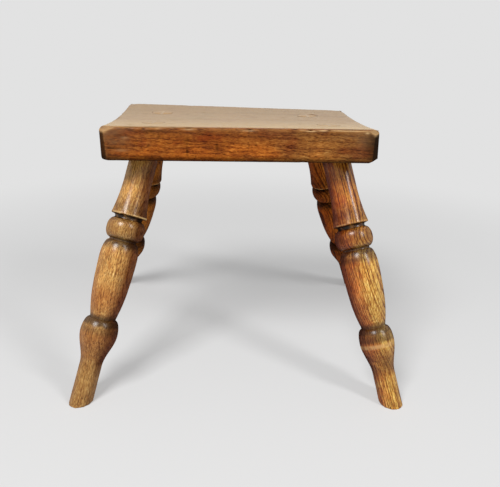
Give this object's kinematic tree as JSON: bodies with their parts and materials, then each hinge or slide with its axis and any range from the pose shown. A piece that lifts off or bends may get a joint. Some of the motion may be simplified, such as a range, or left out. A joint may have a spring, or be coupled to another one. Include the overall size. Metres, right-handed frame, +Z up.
{
  "type": "turned-leg slab stool",
  "caption": "Low country stool: a thick hollowed plank seat on splayed turned legs with bead, vase and bulb turnings, each held by a wedged through tenon.",
  "frame": {"origin": "on the floor, at the centre of the box around the stool, midway between the feet", "axes": "+Z up, +X to the right along the length of the seat, -Y towards the front long edge of the seat"},
  "size_m": [0.4949, 0.4243, 0.3564],
  "materials": {
    "seat_elm": "old elm, stained red-brown, waxed and worn to a satin sheen",
    "leg_ash": "turned ash with open dark pores, honey brown, waxed, dark in the grooves",
    "wedge_oak": "oak, dark brown, waxed, sawn level with the seat"
  },
  "bodies": {
    "root": {"seat_slab": "seat_elm", "leg_front_left": "leg_ash", "leg_front_right": "leg_ash", "leg_back_left": "leg_ash", "leg_back_right": "leg_ash", "wedge_front_left": "wedge_oak", "wedge_front_right": "wedge_oak", "wedge_back_left": "wedge_oak", "wedge_back_right": "wedge_oak"}
  },
  "joints": []
}
